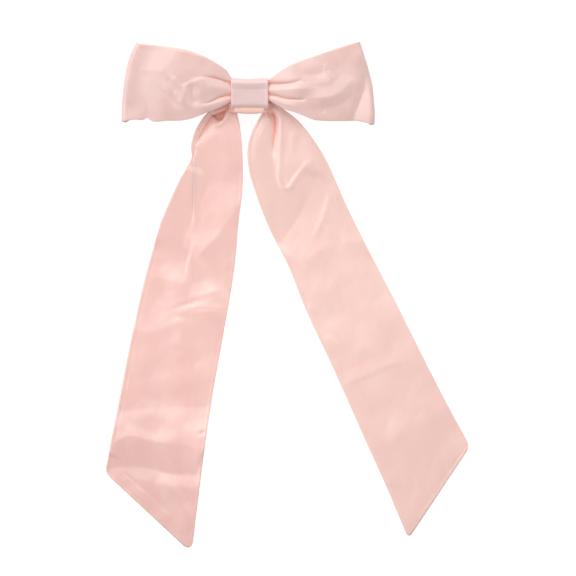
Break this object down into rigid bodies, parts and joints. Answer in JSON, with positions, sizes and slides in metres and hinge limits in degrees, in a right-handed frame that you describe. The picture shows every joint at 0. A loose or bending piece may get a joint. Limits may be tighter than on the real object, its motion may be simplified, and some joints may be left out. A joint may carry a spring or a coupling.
{
  "type": "barrette",
  "caption": "Satin bow barrette with puffed loops, a smooth knot band and long slant-cut tails, sewn to a sprung French hair clip.",
  "frame": {"origin": "middle of the clasp arm's flat underside, where the barrette lies on a table", "axes": "+X along the clip from its hinge to its catch, +Y away from the tails, +Z towards the face of the bow"},
  "size_m": [0.2321, 0.3253, 0.024],
  "materials": {
    "satin": "soft pale pink satin with a fine weave and a gentle sheen",
    "thread": "pink polyester sewing thread",
    "felt": "matte pink felt",
    "nickel_steel": "bright nickel-plated spring steel"
  },
  "bodies": {
    "bow": {"bow_loop_left": "satin", "bow_loop_right": "satin", "bow_waist": "satin", "gather_thread": "thread", "knot_band": "satin", "knot_stitches": "thread", "tail_gather": "satin", "felt_pad": "felt", "stitches_hinge_end": "thread", "stitches_catch_end": "thread", "base_plate": "nickel_steel", "hinge_pin": "nickel_steel", "catch_saddle": "nickel_steel", "catch_rivet": "nickel_steel"},
    "arm": {"clasp_arm": "nickel_steel"},
    "leaf": {"tension_bar": "nickel_steel"},
    "tab_upper": {"catch_tab_upper": "nickel_steel"},
    "tab_lower": {"catch_tab_lower": "nickel_steel"},
    "left_tail": {"tail_left": "satin"},
    "right_tail": {"tail_right": "satin"}
  },
  "joints": [
    {"name": "clasp_hinge", "type": "hinge", "parent": "bow", "child": "arm", "pos_m": [-0.0384, 0, 0.0016], "axis": [0, 1, 0], "range_deg": [0, 75]},
    {"name": "leaf_flex", "type": "hinge", "parent": "bow", "child": "leaf", "pos_m": [-0.031, 0, 0.0042], "axis": [0, -1, 0], "range_deg": [0, 1], "stiffness_Nm_per_rad": 2},
    {"name": "squeeze_upper", "type": "hinge", "parent": "bow", "child": "tab_upper", "pos_m": [0.036, 0.0025, 0.0041], "axis": [-1, 0, 0], "range_deg": [0, 13], "stiffness_Nm_per_rad": 0.05},
    {"name": "squeeze_lower", "type": "hinge", "parent": "bow", "child": "tab_lower", "pos_m": [0.036, -0.0025, 0.0041], "axis": [1, 0, 0], "range_deg": [0, 13], "stiffness_Nm_per_rad": 0.05},
    {"name": "left_tail_swing", "type": "hinge", "parent": "bow", "child": "left_tail", "pos_m": [-0.0195, -0.0182, 0.0074], "axis": [-1, 0, 0], "range_deg": [-30, 80]},
    {"name": "right_tail_swing", "type": "hinge", "parent": "bow", "child": "right_tail", "pos_m": [0.0178, -0.0182, 0.0074], "axis": [-1, 0, 0], "range_deg": [-30, 80]}
  ]
}
